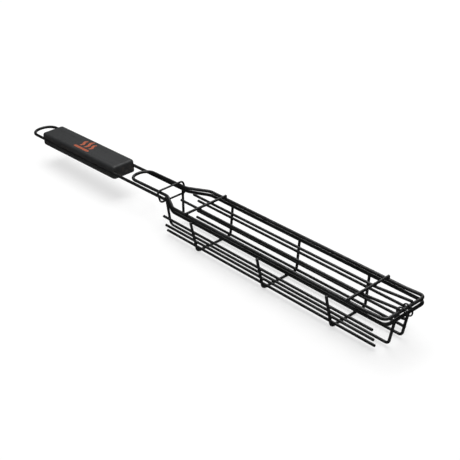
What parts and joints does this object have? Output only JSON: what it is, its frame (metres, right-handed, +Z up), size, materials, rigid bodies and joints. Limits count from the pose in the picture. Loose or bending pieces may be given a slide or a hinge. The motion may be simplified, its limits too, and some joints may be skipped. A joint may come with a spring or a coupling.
{
  "type": "grill basket",
  "caption": "Long narrow wire basket for grilling skewered food, with a wooden handle, a hinged wire lid, a sliding lock ring and a hang loop.",
  "frame": {"origin": "under the middle of the whole length, on the surface that the ribs stand on", "axes": "+X from the handle to the hinge, +Y to the left when seen from the handle, +Z up"},
  "size_m": [0.564, 0.056, 0.0434],
  "materials": {
    "wire_coating": "satin black non-stick coating on steel wire",
    "grid_coating": "satin black non-stick coating on thinner steel wire",
    "ring_coating": "black coating on steel wire, worn where it slides",
    "handle_wood": "black-stained hardwood, satin",
    "screw_steel": "zinc-plated steel"
  },
  "bodies": {
    "base": {"base_frame": "wire_coating", "handle_upper": "handle_wood", "handle_lower": "handle_wood", "handle_screws": "screw_steel", "rib_handle_end": "grid_coating", "rib_middle": "grid_coating", "rib_hinge_end": "grid_coating", "bottom_wire_left": "grid_coating", "bottom_wire_right": "grid_coating", "side_wire_upper_left": "grid_coating", "side_wire_upper_right": "grid_coating", "side_wire_lower_left": "grid_coating", "side_wire_lower_right": "grid_coating", "corner_wire_left": "grid_coating", "corner_wire_right": "grid_coating"},
    "lid": {"lid_frame": "wire_coating", "lid_wire_left": "grid_coating", "lid_wire_right": "grid_coating", "lid_cross_handle_end": "grid_coating", "lid_cross_hinge_end": "grid_coating", "hinge_ring_left": "ring_coating", "hinge_ring_right": "ring_coating"},
    "lock_ring": {"lock_ring": "ring_coating"}
  },
  "joints": [
    {"name": "lid_hinge", "type": "hinge", "parent": "base", "child": "lid", "pos_m": [0.276, 0, 0.034], "axis": [0, 1, 0], "range_deg": [0, 180]},
    {"name": "lock_slide", "type": "slide", "parent": "base", "child": "lock_ring", "axis": [-0.9998, 0, -0.0175], "range_m": [0, 0.077]}
  ]
}
